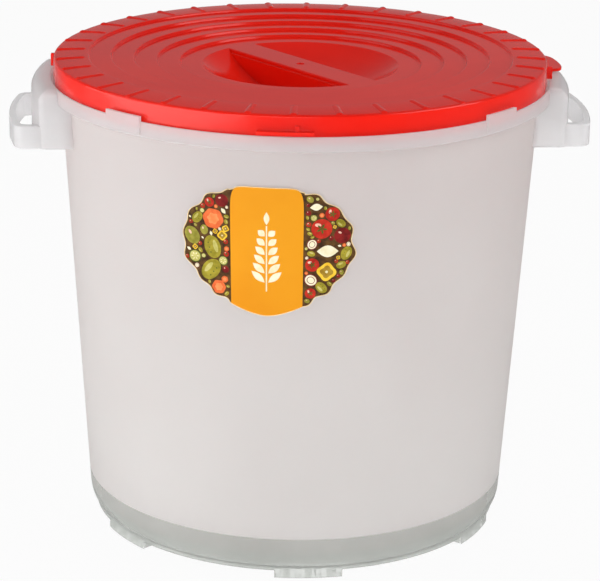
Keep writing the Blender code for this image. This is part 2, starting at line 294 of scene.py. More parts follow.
def tub_outline():
    """Outline of the cup, up the outside and down the inside."""
    inner_lip, inner_rim = lip_radius - lip_wall, rim_radius - level_wall
    line = [(0.0, base_height, 0.0)]
    line += sharp(corner_arc(corner_radius))
    line += [(wall_radius(frost_height), frost_height, 0.0)]
    line += [(wall_radius(ledge_height), ledge_height, hollow_round)]
    line += [(lip_radius, ledge_height, edge_round), (lip_radius, lip_top, lip_round)]
    line += [(inner_lip, lip_top, lip_round), (inner_lip, ledge_top, hollow_round)]
    line += [(rim_radius, ledge_top, hollow_round), (rim_radius, rim_top, edge_round)]
    line += [(inner_rim, rim_top, edge_round), (inner_rim, ledge_top, 0.0)]
    line += sharp(corner_arc(corner_radius - wall)[::-1])
    line += [(0.0, base_height + wall, 0.0)]
    return rounded(line)


tub = lathe("tub_moulding", tub_outline())
print("shell of the tub:", [round(v, 4) for v in tub.dimensions])

# %% [markdown]
# ## Joining what is moulded on
# Handles, catches and feet grow out of the outside of the wall. They could simply be pushed into it,
# but light passes through this plastic, and hidden faces would show. So each is made a little too long,
# cut with the space inside the middle of the wall, and joined to the shell. The join then lies inside
# the plastic, so no flap shows inside the tub and no gap outside.

# %% Helper: the space inside the wall
def tub_core():
    """The space inside the middle of the wall."""
    half = 0.5 * wall
    line = [(0.0, base_height + half)] + corner_arc(corner_radius - half)
    middle, lip_middle = 0.5 * (ledge_height + ledge_top), lip_radius - 0.5 * lip_wall
    line += [(wall_radius(ledge_height) - half, middle), (lip_middle, middle)]
    line += [(lip_middle, rim_top + overrun), (0.0, rim_top + overrun)]
    return lathe("core", line)


def mould_on(piece):
    """Trim a piece to the outside of the wall and make it one with the tub."""
    combine(piece, tub_core(), "DIFFERENCE")
    combine(tub, piece, "UNION")


# %% [markdown]
# ## The handles
# Each handle is a hollow shoulder under the collar, open below like an upturned cup, with a flat ring
# of plastic around it that the fingers go through. A bent tube would be quicker, but the real ones have
# flat sides. Both follow from a plan with straight sides and an edge that runs round with the tub, and
# a turned dome gives the shoulder its large round at the top.

# %% Add the handles
shoulder_overhang = 0.0116
shoulder_reach = lip_radius + shoulder_overhang
shoulder_half_width = 0.0480
shoulder_corner = 0.0060
shoulder_trim = 0.0008
shoulder_round = 0.0075
shoulder_edge = 0.0045
handle_wall = 0.0025
grip_space = 0.0104
grip_wall = 0.0045
grip_side_wall = 0.0050
grip_half_width = 0.0470
grip_corner = 0.0080
grip_inner_corner = 0.0050
grip_height = 0.0155
grip_radius = shoulder_reach + grip_space + grip_wall
handle_height = 0.0395
handle_bottom = lip_top - handle_height
handle_round = 0.0009
handle_corner_steps = 6
handle_front_steps = 18
dome_steps = 8
wide = 0.3
wide_plan = [(-wide, -wide), (wide, -wide), (wide, wide), (-wide, wide)]


def grip_plan(half_width, radius, corner):
    """Plan of the grip: straight sides, round corners and an edge that follows the tub."""
    reach = math.sqrt((radius - corner) ** 2 - (half_width - corner) ** 2)
    turn = math.atan2(half_width - corner, reach)
    plan = [(corner_centre, -half_width)]
    plan += arc(reach, corner - half_width, corner, -quarter_turn, -turn, handle_corner_steps)
    plan += arc(0.0, 0.0, radius, -turn, turn, handle_front_steps)[1:-1]
    plan += arc(reach, half_width - corner, corner, turn, quarter_turn, handle_corner_steps)
    plan += [(corner_centre, half_width)]
    return plan


def shoulder_block(side, inset, soften):
    """A block with the plan of a shoulder and a round outer edge at the top, smaller by an inset."""
    bottom, top = handle_bottom - shoulder_edge - overrun, lip_top - inset
    plan = grip_plan(shoulder_half_width - inset, shoulder_reach + shoulder_trim - inset,
                     shoulder_corner - inset)
    block = raised("block", [[(side * x, y) for x, y in plan]], bottom, top, soften)
    reach, edge = shoulder_reach - inset, shoulder_round - inset
    line = [(0.0, bottom - overrun), (reach, bottom - overrun)]
    line += arc(reach - edge, top - edge, edge, 0.0, quarter_turn, dome_steps) + [(0.0, top)]
    combine(block, lathe("dome", line), "INTERSECT")
    return block


for side in (-1, 1):
    shoulder = shoulder_block(side, 0.0, shoulder_edge)
    combine(shoulder, shoulder_block(side, handle_wall, handle_round), "DIFFERENCE")
    low_part = raised("low_part", [wide_plan], handle_bottom - 4.0 * overrun, handle_bottom)
    combine(shoulder, low_part, "DIFFERENCE")
    mould_on(shoulder)
    outer = grip_plan(grip_half_width, grip_radius, grip_corner)
    inner = grip_plan(grip_half_width - grip_side_wall, grip_radius - grip_wall, grip_inner_corner)
    plans = [[(side * x, y) for x, y in plan] for plan in (outer, inner)]
    grip = raised("grip", plans[:1], handle_bottom, handle_bottom + grip_height, handle_round)
    gap = raised("gap", plans[1:], handle_bottom - overrun, handle_bottom + grip_height + overrun)
    combine(grip, gap, "DIFFERENCE")
    mould_on(grip)
print("across the handles:", round(tub.dimensions.x * 1000.0), "mm")

# %% [markdown]
# ## Catches, foot ring and feet
# Four flat catches stand on the collar just outside the lid. Under the corner runs a thin ring, cut
# away between six feet, and behind each foot stand four short walls like the teeth of a comb, which
# keep the thin ring from buckling when the tub is full. Six loose feet could be copied round, but
# cutting them from one ring keeps all of them at the same height.

# %% Add the catches, the ring and the feet
catch_angle = math.radians(45.2)
catch_spread = math.radians(10.0)
catch_rise = 0.0035
catch_wall = 0.0012
catch_steps = 8
foot_height = 0.0052
foot_overhang = 0.0113
foot_radius = corner_centre + foot_overhang
foot_wall = 0.0015
foot_count = 6
foot_spread = math.radians(18.6)
foot_rib_count = 4
foot_rib_width = 0.0037
foot_rib_depth = 0.0100
foot_end_gap = 0.0003
space_steps = 24

places = [catch_angle - quarter_turn, -catch_angle - quarter_turn,
          quarter_turn - catch_angle, quarter_turn + catch_angle]
plans = [sector(lip_radius - lip_wall, lip_radius + catch_wall, a, catch_spread, catch_steps)
         for a in places]
mould_on(raised("catches", plans, ledge_top, lip_top + catch_rise, fine_round))

start = 0.5 * full_turn / turn_steps
ring_plans = [arc(0.0, 0.0, r, start, start + full_turn, turn_steps)[:-1]
              for r in (foot_radius, foot_radius - foot_wall)]
ring = raised("ring", ring_plans[:1], 0.0, corner_height)
combine(ring, raised("bore", ring_plans[1:], -overrun, corner_height + overrun), "DIFFERENCE")
foot_pitch = full_turn / foot_count
feet = [foot_pitch * foot - quarter_turn for foot in range(foot_count)]
spaces = [sector(foot_radius - 2.0 * foot_wall, foot_radius + foot_wall, a + 0.5 * foot_pitch,
                 foot_pitch - foot_spread, space_steps) for a in feet]
combine(ring, raised("spaces", spaces, -overrun, foot_height, edge_round), "DIFFERENCE")
inner, outer = foot_radius - foot_rib_depth, foot_radius - 0.5 * foot_wall
rib_spread = foot_spread - (foot_rib_width + 2.0 * foot_end_gap) / foot_radius
teeth = [bar_plan(inner, outer, foot_rib_width, a + (rib / (foot_rib_count - 1) - 0.5) * rib_spread)
         for a in feet for rib in range(foot_rib_count)]
combine(ring, raised("teeth", teeth, 0.0, corner_height, fine_round), "UNION")
mould_on(ring)
print("feet at", [round(math.degrees(a)) for a in feet], "degrees")

# %% [markdown]
# ## The lid: bowl, terraces and skirt
# The lid is turned as well. Its bowl is part of a ball, and five terraces climb from it to the edge.
# Each riser faces the middle and each tread falls a little outwards, which is why the far risers show
# as red stripes and the near ones hide. Stacked rings would leave seams, so all of it is one outline.
# All risers have a small round at the top and a smaller one at the foot; those rounds catch the light
# as thin bright lines. Outside the last riser the lid bends down like a shallow arch, so it mirrors
# less of the horizon towards its edge and looks redder there.

# %% Turn the lid
lid_overhang = 0.0043
lid_radius = rim_radius + lid_overhang
lid_skin = 0.0024
lid_rest_gap = 0.0003
lid_under = rim_top + lid_rest_gap
lid_top = lid_under + lid_skin
skirt_wall = 0.0018
skirt_flare = 0.0005
skirt_gap = 0.0030
skirt_bottom = ledge_top + skirt_gap
edge_radius = 0.0016
edge_drop = 0.0011
crown_steps = 6
terrace_count = 5
terrace_pitch = 0.0153
terrace_rise = 0.0019
terrace_fall = 0.0004
riser_run = 0.0006
riser_round = 0.0008
riser_foot_round = 0.6 * riser_round
rib_band = 0.0230
recess_radius = 0.0662
recess_depth = 0.0220
recess_round = 0.0011
recess_steps = 16
floor_of_lid = lid_top - terrace_count * (terrace_rise - terrace_fall)
terrace_edge = lid_radius - rib_band
terrace_radius = terrace_edge - riser_run - (terrace_count - 1) * terrace_pitch
recess_ball = (recess_radius ** 2 + recess_depth ** 2) / (2.0 * recess_depth)
recess_centre = floor_of_lid + recess_ball - recess_depth
plug_gap = 0.0005
plug_radius = rim_radius - level_wall - plug_gap
plug_wall = 0.0016
plug_depth = 0.0080


def lid_outline():
    """Outline of the lid, out along the top and back underneath."""
    ball_end = -math.acos(recess_radius / recess_ball)
    line = sharp(arc(0.0, recess_centre, recess_ball, -quarter_turn, ball_end, recess_steps))
    line[0] = (0.0, line[0][1], 0.0)
    line[-1] = (recess_radius, floor_of_lid, recess_round)
    height = floor_of_lid
    for terrace in range(terrace_count):
        radius = terrace_radius + terrace * terrace_pitch
        line += [(radius, height, riser_foot_round)]
        line += [(radius + riser_run, height + terrace_rise, riser_round)]
        height += terrace_rise - terrace_fall
    line[-1] = (line[-1][0], lid_top, riser_round)
    for step in range(1, crown_steps):
        share = step / crown_steps
        line += [(terrace_edge + share * rib_band, lid_top - edge_drop * share ** 2, 0.0)]
    line += [(lid_radius, lid_top - edge_drop, edge_radius)]
    foot = lid_radius + skirt_flare
    line += [(foot, skirt_bottom, fine_round), (foot - skirt_wall, skirt_bottom, fine_round)]
    line += [(lid_radius - skirt_wall, lid_under, 0.0), (plug_radius, lid_under, 0.0)]
    inner_plug, bottom = plug_radius - plug_wall, lid_under - plug_depth
    line += [(plug_radius, bottom, fine_round), (inner_plug, bottom, fine_round)]
    line += [(inner_plug, lid_under, 0.0), (terrace_radius, floor_of_lid - lid_skin, 0.0)]
    under = recess_ball + lid_skin
    drop = recess_centre - floor_of_lid + lid_skin
    back = arc(0.0, recess_centre, under, -math.asin(drop / under), -quarter_turn, recess_steps)
    line += sharp(back[:-1]) + [(0.0, back[-1][1], 0.0)]
    return rounded(line)


lid = lathe("lid_moulding", lid_outline())
print("terraces climb from", round(floor_of_lid * 1000.0, 1), "to", round(lid_top * 1000.0, 1), "mm")

# %% [markdown]
# ## The grip bar in the bowl
# A straight bar crosses the bowl, level with its edge, so that a hand can hold the lid. Its section is
# a box with round upper edges and a fine step just below them, which a bevelled box doesn't have. So
# the section is drawn once, pushed along the bar, and trimmed with the ball of the bowl. A slot from
# below keeps the bar hollow, as moulded plastic never has a thick block in it, and a small dimple marks
# where the mould was filled.

# %% Add the grip bar
bar_angle = math.radians(-55.5)
bar_width = 0.0230
bar_lip = 0.0011
bar_lip_height = 0.0024
bar_lip_fall = 0.3 * bar_lip
bar_lip_round = 0.0004
bar_lip_foot = 0.0001
bar_wall = 0.0017
bar_end_gap = 0.0075
bar_round = 0.0009
dimple_radius = 0.0028
dimple_depth = 0.0006
dimple_steps = 32


def bar_solid(length, bottom, top):
    """The bar as a section across, pushed along its length."""
    half = 0.5 * bar_width
    step = top - bar_lip_height
    side = [(half + bar_lip, bottom, 0.0), (half + bar_lip, step - bar_lip_fall, bar_lip_round),
            (half, step, bar_lip_foot), (half, top, bar_round)]
    other = [(-x, z, r) for x, z, r in reversed(side)]
    section = rounded(side + other)
    mesh = bmesh.new()
    end = mesh.faces.new([mesh.verts.new((-length, y, z)) for y, z in section])
    push(mesh, [end], (2.0 * length, 0.0, 0.0))
    bmesh.ops.rotate(mesh, verts=mesh.verts[:], cent=(0.0, 0.0, 0.0),
                     matrix=Matrix.Rotation(bar_angle, 3, "Z"))
    return as_object("bar", mesh)


def bowl_filler():
    """The space of the bowl, taken to the middle of its skin."""
    ball = recess_ball + 0.5 * lid_skin
    top = floor_of_lid + overrun
    start = -math.asin((recess_centre - floor_of_lid) / ball)
    line = arc(0.0, recess_centre, ball, start, -quarter_turn, recess_steps)
    return lathe("filler", [(0.0, top), (line[0][0], top)] + line[:-1] + [(0.0, line[-1][1])])


depth = floor_of_lid - recess_depth - lid_skin
bar = bar_solid(recess_radius + overrun, depth, floor_of_lid)
combine(bar, bowl_filler(), "INTERSECT")
combine(lid, bar, "UNION")
reach = recess_radius - bar_end_gap
slot_plan = bar_plan(-reach, reach, bar_width - 2.0 * bar_wall, bar_angle)
combine(lid, raised("slot", [slot_plan], depth - overrun, floor_of_lid - bar_wall), "DIFFERENCE")
dimple_plan = arc(0.0, 0.0, dimple_radius, 0.0, full_turn, dimple_steps)[:-1]
combine(lid, raised("dimple", [dimple_plan], floor_of_lid - dimple_depth, floor_of_lid + overrun),
        "DIFFERENCE")
print("bowl:", round(recess_radius * 2000.0), "mm across")

# %% [markdown]
# ## Ribs on the edge of the lid
# Thirty-six short ribs sit on the falling edge, one every ten degrees and one in line with the bar.
# Small bevelled boxes would be easy, but their flat tops mirror the same sky as the lid and vanish.
# Each real rib is an arch across and round at its inner end, so light runs along one of its sides as a
# thin line. It is built from a row of sections: they grow at the inner end, keep their size along the
# rib, and sink again just before the edge.

# %% Add the ribs
rib_count = 36
rib_width = 0.0064
rib_height = 0.0020
rib_gap = 0.0015
rib_edge_gap = 0.0006
rib_sink = 0.0021
rib_top_inner = 0.0009
rib_top_outer = 0.0001
rib_tail_share = 0.8
rib_end_steps = 4
rib_arch_steps = 10


def rib_sections():
    """Place, half width and top height of each section along a rib."""
    half = 0.5 * rib_width
    start, end = terrace_edge + rib_gap, lid_radius - rib_edge_gap
    sections = []
    for step in range(1, rib_end_steps + 1):
        turn = quarter_turn * step / rib_end_steps
        sections.append((start + half * (1.0 - math.cos(turn)), math.sin(turn)))
    for step in range(rib_end_steps):
        turn = quarter_turn * step / rib_end_steps
        sections.append((end - rib_height * (1.0 - math.sin(turn)), math.cos(turn)))
    placed = []
    for x, share in sections:
        top = rib_top_inner + (rib_top_outer - rib_top_inner) * (x - start) / (end - start)
        narrow = share
        if x > start + half + overrun:
            narrow = rib_tail_share + (1.0 - rib_tail_share) * share
        placed.append((x, half * narrow, lid_top + top - rib_height * (1.0 - share)))
    return placed


def arched_rib(mesh, angle):
    """Add one rib to a mesh, as arches joined one to the next, and turn it to its place."""
    rows = []
    for x, half, top in rib_sections():
        ball = (half ** 2 + rib_height ** 2) / (2.0 * rib_height)
        spread = 2.0 * math.atan2(rib_height, half)
        low, high = quarter_turn - spread, quarter_turn + spread
        section = [(half, lid_top - rib_sink)]
        section += arc(0.0, top - ball, ball, low, high, rib_arch_steps)
        section += [(-half, lid_top - rib_sink)]
        rows.append([mesh.verts.new((*turned_point(x, y, angle), z)) for y, z in section])
    for first, second in zip(rows, rows[1:]):
        for i in range(len(first)):
            k = (i + 1) % len(first)
            mesh.faces.new([first[i], first[k], second[k], second[i]])
    mesh.faces.new(rows[0][::-1])
    mesh.faces.new(rows[-1])


mesh = bmesh.new()
for rib in range(rib_count):
    arched_rib(mesh, bar_angle + full_turn * rib / rib_count)
bmesh.ops.recalc_face_normals(mesh, faces=mesh.faces[:])
combine(lid, as_object("ribs", mesh), "UNION")
rib_length = rib_band - rib_gap - rib_edge_gap
print(rib_count, "ribs, each", round(rib_length * 1000.0), "mm long")

# %% [markdown]
# ## Lug, fins and pull tab
# At the front of the skirt is a flat lug with a small pointer over it, a quarter turn to each side
# stands a fin, and at the right is the tab that the thumb pulls. They are flat mouldings, so each can
# be a plan raised between two heights; only the tab needs a rounder plan. They keep just clear of the
# lip of the collar.

# %% Add the pieces on the edge
lug_angle = math.radians(-97.2)
lug_spread = math.radians(12.2)
lug_reach = 0.0046
lug_clearance = 0.0012
lug_wall = 0.0020
lug_bottom = lip_top + lug_clearance
lug_top = lug_bottom + lug_wall
lug_steps = 10
pointer_shift = math.radians(2.6)
pointer_reach = 0.0022
pointer_height = 0.0034
pointer_sink = 0.0010
pointer_width = 0.0030
fin_reach = 0.0036
fin_width = 0.0030
fin_clearance = 0.0008
fin_bottom = lip_top + fin_clearance
fin_height = 0.0085
tab_angle = math.radians(6.0)
tab_spread = math.radians(14.0)
tab_reach = 0.0130
tab_power = 4.0
tab_steps = 40
tab_root_steps = 8
trim_round = 0.0004


def tab_plan(inner):
    """Plan of a tab on the edge whose outer corners are round."""
    plan = []
    for i in range(tab_steps + 1):
        share = 2.0 * i / tab_steps - 1.0
        out = tab_reach * (1.0 - abs(share) ** tab_power) ** (1.0 / tab_power)
        angle = tab_angle + 0.5 * tab_spread * share
        radius = lid_radius + skirt_flare + out
        plan.append((radius * math.cos(angle), radius * math.sin(angle)))
    low, high = tab_angle - 0.5 * tab_spread, tab_angle + 0.5 * tab_spread
    return plan + arc(0.0, 0.0, inner, high, low, tab_root_steps)


root = lid_radius - 0.5 * skirt_wall
lug = sector(root, lid_radius + lug_reach, lug_angle, lug_spread, lug_steps)
pointer = bar_plan(root, lid_radius + pointer_reach, pointer_width, lug_angle + pointer_shift)
fin_left, fin_right = (bar_plan(root, lid_radius + fin_reach, fin_width, lug_angle + turn)
                       for turn in (-quarter_turn, quarter_turn))
edge_pieces = [("lug", lug, lug_bottom, lug_top),
               ("pointer", pointer, lug_top - pointer_sink, lug_top + pointer_height),
               ("fin_left", fin_left, fin_bottom, fin_bottom + fin_height),
               ("fin_right", fin_right, fin_bottom, fin_bottom + fin_height),
               ("tab", tab_plan(root), lug_bottom, lug_top)]
for name, plan, bottom, top in edge_pieces:
    combine(lid, raised(name, [plan], bottom, top, trim_round), "UNION")
print("across the lid:", round(lid.dimensions.x * 1000.0), "mm")

# %% [markdown]
# ## The label film
# The label is a thin printed film on the front of the wall. It is drawn flat, as a distance from its
# middle for every direction, then cut into narrow upright strips and wrapped round the wall, so that it
# follows the curve without flat spots. A Shrinkwrap modifier could press it on too, but the wall is a
# plain cone, and a formula puts each point exactly. Small prints use the same wrapping, each a hair
# higher than the one under it, as layers of ink are.

# %% Wrap the label film
label_angle = math.radians(-101.3)
label_height = 0.2298
label_half_width = 0.0553
label_half_height = 0.0429
label_band_half_width = 0.0235
label_band_half_height = 0.0432
label_scallop = 0.0010
label_scallop_count = 21
label_lump_count = 13
label_lump_turn = 1.0
label_wall = 0.0003
label_gap = 0.0003
label_top_power = 2.4
label_bottom_power = 1.6
label_band_power = 9.0
label_fold = 0.0040
label_points = 378


def box_edge(angle, half_width, half_height, power):
    """Edge of a rounded box, as a distance from its middle."""
    across = abs(math.cos(angle)) / half_width
    along = abs(math.sin(angle)) / half_height
    return (across ** power + along ** power) ** (-1.0 / power)


def label_edge(angle):
    """Distance from the middle of the label to its cut edge."""
    low = math.sin(angle) < 0.0
    power = label_bottom_power if low else label_top_power
    mass = box_edge(angle, label_half_width, label_half_height, power)
    if abs(mass * math.cos(angle)) > label_band_half_width:
        mass += label_scallop * math.cos(label_scallop_count * angle)
        mass += 0.5 * label_scallop * math.cos(label_lump_count * angle + label_lump_turn)
    band = box_edge(angle, label_band_half_width, label_band_half_height, label_band_power)
    return mass if low else max(mass, band)


def wrapped(name, plans, inner, outer):
    """Flat plans in the plane of the label, made solid between two heights and wrapped on the wall."""
    mesh = bmesh.new()
    for plan in plans:
        mesh.faces.new([mesh.verts.new((x, y, inner)) for x, y in plan])
    folds = int(2.0 * label_half_width / label_fold)
    for fold in range(1, folds):
        place = (2.0 * fold / folds - 1.0) * label_half_width
        parts = mesh.verts[:] + mesh.edges[:] + mesh.faces[:]
        bmesh.ops.bisect_plane(mesh, geom=parts, plane_co=(place, 0.0, 0.0), plane_no=(1.0, 0.0, 0.0))
    push(mesh, mesh.faces[:], (0.0, 0.0, outer - inner))
    middle = wall_radius(label_height)
    for point in mesh.verts:
        height = label_height + point.co.y
        angle = label_angle + point.co.x / middle
        radius = wall_radius(height) + point.co.z
        point.co = (radius * math.cos(angle), radius * math.sin(angle), height)
    return as_object(name, mesh)


turns = [full_turn * i / label_points for i in range(label_points)]
label_plan = [(label_edge(a) * math.cos(a), label_edge(a) * math.sin(a)) for a in turns]
film_top = label_gap + label_wall
film = wrapped("label_film", [label_plan], label_gap, film_top)
print("label:", round(2000.0 * label_half_width), "x", round(2000.0 * label_half_height), "mm")

# %% [markdown]
# ## The print on the label
# The design is a plain one made for this lesson: mixed pickling vegetables on both sides of an orange
# band. A picture could be laid on the film, but drawn shapes stay sharp from near by and need no file.
# Two plans are enough for all of them: a round that may be stretched and lobed, and a pointed leaf.

# %% Plans for slices, leaves and fruits
layer = 0.00003


def disc(x, y, radius, points=20, stretch=1.0, turn=0.0, lobes=0, depth=0.0):
    """A round plan, which may be stretched, turned and lobed."""
    plan = []
    for i in range(points):
        a = full_turn * i / points
        r = radius * (1.0 + depth * math.cos(lobes * a))
        u, v = turned_point(r * stretch * math.cos(a), r * math.sin(a) / stretch, turn)
        plan.append((x + u, y + v))
    return plan


def leaf(x, y, length, width, turn):
    """A pointed leaf that starts at x, y."""
    steps = 8
    up = [(length * i / steps, width * math.sin(math.pi * i / steps)) for i in range(steps + 1)]
    down = [(u, -v) for u, v in reversed(up[1:-1])]
    return [(x + p, y + q) for p, q in (turned_point(u, v, turn) for u, v in up + down)]


prints = {}


def draw(ink, level, plan):
    """Keep a plan for an ink and a level."""
    prints.setdefault((ink, level), []).append(plan)


print("a leaf has", len(leaf(0.0, 0.0, 1.0, 0.2, 0.0)), "points")

# %% [markdown]
# ## Nine kinds of vegetable
# Each kind is a stack of one to four flat shapes, each with its own ink and level: a round of peel,
# then flesh, then seeds. All sizes are shares of the round's radius, so that one function draws a large
# slice and a small one. A gleam of pale ink makes a fruit look round without any real relief.

# %% Draw the vegetables
def cucumber(x, y, r, turn):
    """A slice with a dark peel, pale flesh and a ring of seeds."""
    draw("peel", 1, disc(x, y, r))
    draw("flesh", 2, disc(x, y, 0.84 * r))
    for seed in range(6):
        u, v = turned_point(0.45 * r, 0.0, turn + seed * full_turn / 6.0)
        draw("seed", 3, disc(x + u, y + v, 0.13 * r, 8, 1.5, turn + seed * full_turn / 6.0))


def tomato(x, y, r, turn):
    """A small tomato with its green star and a soft gleam."""
    draw("tomato", 1, disc(x, y, r))
    draw("gleam", 2, disc(x - 0.35 * r, y + 0.38 * r, 0.24 * r, 10, 1.3, turn))
    for ray in range(5):
        draw("peel", 3 + ray % 2, leaf(x, y, 0.55 * r, 0.10 * r, turn + ray * full_turn / 5.0))


def carrot(x, y, r, turn):
    """A round of carrot with its lighter star-shaped heart."""
    draw("carrot", 1, disc(x, y, r, 30, 1.0, turn, 6, 0.04))
    draw("heart", 2, disc(x, y, 0.55 * r, 30, 1.0, turn, 6, 0.12))


def onion(x, y, r, turn):
    """A slice of red onion: three rings."""
    for step, (ink, share) in enumerate((("onion", 1.0), ("cream", 0.86), ("onion", 0.60))):
        draw(ink, 1 + step, disc(x, y, share * r, 24, 1.06, turn))
    draw("cream", 4, disc(x, y, 0.50 * r, 20, 1.06, turn))


def pepper(x, y, r, turn):
    """A ring cut from a yellow pepper."""
    draw("pepper", 1, disc(x, y, r, 36, 1.0, turn, 4, 0.10))
    draw("shade", 2, disc(x, y, 0.66 * r, 36, 1.0, turn, 4, 0.14))
    draw("seed", 3, disc(x, y, 0.16 * r, 8))


def olive(x, y, r, turn):
    """A green olive with a gleam."""
    draw("olive", 1, disc(x, y, 0.92 * r, 20, 1.12, turn))
    draw("gleam", 2, disc(x - 0.25 * r, y + 0.35 * r, 0.20 * r, 8, 1.4, turn))


def gherkin(x, y, r, turn):
    """A short pickled cucumber with a long gleam and a few dark spots."""
    draw("gherkin", 1, disc(x, y, 0.90 * r, 24, 1.12, turn, 2, 0.06))
    u, v = turned_point(0.0, 0.28 * r, turn)
    draw("flesh", 2, disc(x + u, y + v, 0.34 * r, 16, 1.7, turn))
    for spot in (-1, 0, 1):
        u, v = turned_point(0.45 * spot * r, -0.30 * r, turn)
        draw("peel", 3, disc(x + u, y + v, 0.07 * r, 6))


def cherry(x, y, r, turn):
    """A dark red fruit with a small gleam."""
    draw("cherry", 1, disc(x, y, r))
    draw("gleam", 2, disc(x - 0.30 * r, y + 0.40 * r, 0.17 * r, 8, 1.3, turn))


def clove(x, y, r, turn):
    """A clove of garlic."""
    draw("cream", 1, leaf(*[p + q for p, q in zip((x, y), turned_point(-r, 0.0, turn))],
                          1.9 * r, 0.55 * r, turn))


kinds = [gherkin, tomato, clove, carrot, gherkin, cherry,
         pepper, olive, cucumber, gherkin, tomato, onion]
print("kinds:", ", ".join(sorted({kind.__name__ for kind in kinds})))

# %% [markdown]
# ## Packing the vegetables
# On such a label the vegetables lie close together, large and small. They could be placed by hand, or
# scattered and left to overlap. Here they are packed like pebbles: the largest come first, and each
# next one takes the first free spot that a fixed row of random numbers offers, so the picture never
# changes.

# %% Pack the vegetables
label_margin = 0.0007
band_margin = 0.0002
pack_sizes = [(0.0072, 8), (0.0058, 16), (0.0044, 40), (0.0033, 60), (0.0024, 110), (0.0017, 170),
              (0.0012, 200)]
pack_tries = 60
pack_overlap = 0.97
size_spread = (0.92, 1.08)
drawn_share = 0.98
edge_checks = 12
dice = random.Random(11)


def is_free(x, y, r, taken):
    """True where a round of that size stays on the film, off the band and off the others."""
    if abs(x) - r < label_band_half_width + band_margin:
        return False
    for u, v in disc(x, y, r, edge_checks):
        if math.hypot(u, v) > label_edge(math.atan2(v, u)) - label_margin:
            return False
    return all(math.hypot(x - a, y - b) > pack_overlap * (r + c) for a, b, c in taken)


taken = []
for size, wanted in pack_sizes:
    found = 0
    for _ in range(pack_tries * wanted):
        x = dice.uniform(-label_half_width, label_half_width)
        y = dice.uniform(-label_half_height, label_half_height)
        r = size * dice.uniform(*size_spread)
        if found < wanted and is_free(x, y, r, taken):
            kinds[len(taken) % len(kinds)](x, y, drawn_share * r, dice.uniform(0.0, full_turn))
            taken.append((x, y, r))
            found += 1
print(len(taken), "vegetables on the film")

# %% [markdown]
# ## The ground, the band and the sprig
# Behind the vegetables the film is printed dark, up to a thin unprinted rim. The band down the middle
# covers the film to its lower edge, and carries a sprig of leaves in pairs that get shorter towards
# the tip. Each could be a piece of film of its own, but real inks are printed on one film. All of it is
# drawn with the same plans and the edge functions of the film, so it can't run over the edge.

# %% Print the ground, the band and its sprig
rim = 0.0005
least_cosine = 0.005
ground_plan = [((label_edge(a) - rim) * math.cos(a), (label_edge(a) - rim) * math.sin(a)) for a in turns]
draw("ground", 0.5, ground_plan)
band_plan = []
for a in turns:
    reach = box_edge(a, label_band_half_width - rim, label_band_half_height - rim, label_band_power)
    if math.sin(a) < 0.0:
        low = box_edge(a, label_half_width, label_half_height - rim, label_bottom_power)
        side = (label_band_half_width - rim) / max(abs(math.cos(a)), least_cosine)
        reach = min(low, side)
    band_plan.append((reach * math.cos(a), reach * math.sin(a)))
draw("band", 1, band_plan)
sprig_foot, sprig_step, sprig_pairs = -0.020, 0.0062, 6
leaf_length, leaf_shrink, leaf_width = 0.0112, 0.0011, 0.0022
leaf_place, leaf_lean = 0.0011, 0.85
top_leaf_length, top_leaf_width = 0.0085, 0.0018
stem_half_width, stem_bottom = 0.0004, sprig_foot - 0.006
stem_top = sprig_foot + (sprig_pairs + 0.1) * sprig_step
for pair in range(sprig_pairs):
    y = sprig_foot + pair * sprig_step
    for side in (-1, 1):
        draw("cream", 2, leaf(side * leaf_place, y, leaf_length - leaf_shrink * pair, leaf_width,
                              quarter_turn - side * leaf_lean))
draw("cream", 2, leaf(0.0, stem_top + 0.1 * sprig_step, top_leaf_length, top_leaf_width, quarter_turn))
draw("cream", 2, [(-stem_half_width, stem_bottom), (stem_half_width, stem_bottom),
                  (stem_half_width, stem_top), (-stem_half_width, stem_top)])
print("inks and levels:", len(prints))

# %% [markdown]
# ## Finishes: how they are mixed
# A moulded plastic is never one flat colour. Each finish here varies its colour a little over a hand's
# width, varies its roughness with a finer noise, and has a bump for the grain of the mould. All three
# come from noise in the object's own space, so that they stay put when the camera moves. Painted
# textures could do the same, but would need unwrapping. One helper builds the noise, and each finish
# then adds its own gloss or clearness on the shader itself.

# %% Helper: a plastic with varied colour, roughness and grain
def plastic(name, colours, roughness, patch, grain, grain_depth, settings=()):
    """A Principled finish: two colours, a range of roughness, and the sizes of patches and grain."""
    finish = bpy.data.materials.new(name)
    finish.use_nodes = True
    nodes, links = finish.node_tree.nodes, finish.node_tree.links
    shader = nodes["Principled BSDF"]
    place = nodes.new("ShaderNodeTexCoord")

    def noise(size, detail):
        texture = nodes.new("ShaderNodeTexNoise")
        texture.inputs["Scale"].default_value = 1.0 / size
        texture.inputs["Detail"].default_value = detail
        links.new(place.outputs["Object"], texture.inputs["Vector"])
        return texture

    patches, grains = noise(patch, 3.0), noise(grain, 2.0)
    ramp = nodes.new("ShaderNodeValToRGB")
    for stop, position, colour in zip(ramp.color_ramp.elements, (0.35, 0.65), colours):
        stop.position = position
        stop.color = (*colour, 1.0)
    links.new(patches.outputs["Fac"], ramp.inputs["Fac"])
    links.new(ramp.outputs["Color"], shader.inputs["Base Color"])
    spread = nodes.new("ShaderNodeMapRange")
    spread.inputs["To Min"].default_value, spread.inputs["To Max"].default_value = roughness
    links.new(patches.outputs["Fac"], spread.inputs["Value"])
    links.new(spread.outputs["Result"], shader.inputs["Roughness"])
    bump = nodes.new("ShaderNodeBump")
    bump.inputs["Distance"].default_value = grain_depth
    links.new(grains.outputs["Fac"], bump.inputs["Height"])
    links.new(bump.outputs["Normal"], shader.inputs["Normal"])
    for socket, value in settings:
        shader.inputs[socket].default_value = value
    return finish


